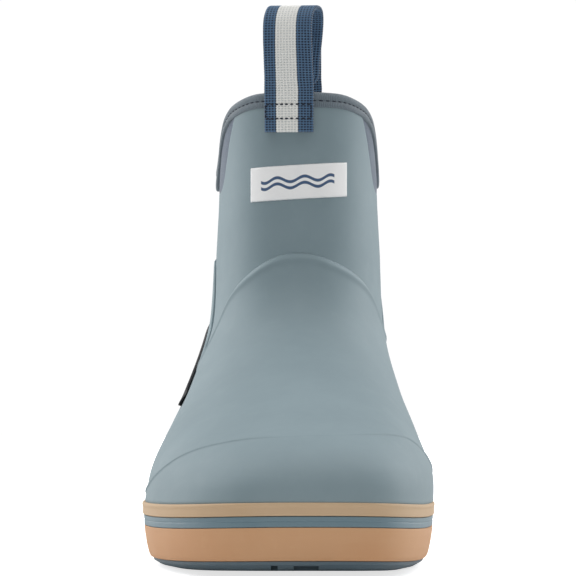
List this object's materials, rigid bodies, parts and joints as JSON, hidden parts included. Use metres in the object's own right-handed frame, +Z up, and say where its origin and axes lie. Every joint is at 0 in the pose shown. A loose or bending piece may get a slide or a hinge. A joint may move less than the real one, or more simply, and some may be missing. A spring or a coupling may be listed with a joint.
{
  "type": "deck boot",
  "caption": "Ankle-height pull-on rubber deck boot for the right foot, with a notched collar, webbing pull loops and a banded flat sole.",
  "frame": {"origin": "on the ground, at the middle of the boot's length and width", "axes": "+Z up, -Y towards the toe, +X towards the inner (medial) side of the foot"},
  "size_m": [0.1129, 0.3009, 0.2215],
  "materials": {
    "upper_rubber": "satin matte",
    "overlay_rubber": "satin matte",
    "gum_rubber": "matte",
    "band_rubber": "matte",
    "stripe_rubber": "matte",
    "outsole_rubber": "matte",
    "patch_rubber": "satin",
    "neoprene": "knit faced",
    "gore_neoprene": "knit faced",
    "binding_cloth": "woven",
    "thread": "twisted",
    "webbing": "woven",
    "label": "matte",
    "foam": "foamed",
    "board": "fibre board",
    "steel": "brushed",
    "footbed_cloth": "woven"
  },
  "bodies": {
    "boot": {"outsole": "outsole_rubber", "lower_foxing": "gum_rubber", "stripe_band": "stripe_rubber", "top_foxing": "band_rubber", "midsole": "foam", "heel_wedge": "foam", "shank": "steel", "insole_board": "board", "neoprene_liner": "neoprene", "toe_puff": "board", "heel_counter": "board", "front_upper": "upper_rubber", "rear_upper": "upper_rubber", "toe_cap": "overlay_rubber", "instep_overlay": "overlay_rubber", "heel_overlay": "overlay_rubber", "side_patch": "patch_rubber", "medial_gore": "gore_neoprene", "lateral_gore": "gore_neoprene", "collar_binding": "binding_cloth", "binding_thread": "thread", "front_label": "label", "front_loop_outer_leg": "webbing", "front_loop_inner_leg": "webbing", "front_loop_stitching": "thread", "rear_loop_outer_leg": "webbing", "rear_loop_inner_leg": "webbing", "rear_loop_stitching": "thread", "footbed_foam": "foam", "footbed_cloth": "footbed_cloth"},
    "front_pull_loop": {"front_loop": "webbing"},
    "rear_pull_loop": {"rear_loop": "webbing"}
  },
  "joints": [
    {"name": "front_loop_fold", "type": "hinge", "parent": "boot", "child": "front_pull_loop", "pos_m": [0.00109, 0.01883, 0.1865], "axis": [0.9916, -0.1293, 0], "range_deg": [-35, 75], "stiffness_Nm_per_rad": 0.02},
    {"name": "rear_loop_fold", "type": "hinge", "parent": "boot", "child": "rear_pull_loop", "pos_m": [0.0042, 0.1371, 0.1855], "axis": [-1, 0, 0], "range_deg": [-35, 75], "stiffness_Nm_per_rad": 0.02}
  ]
}
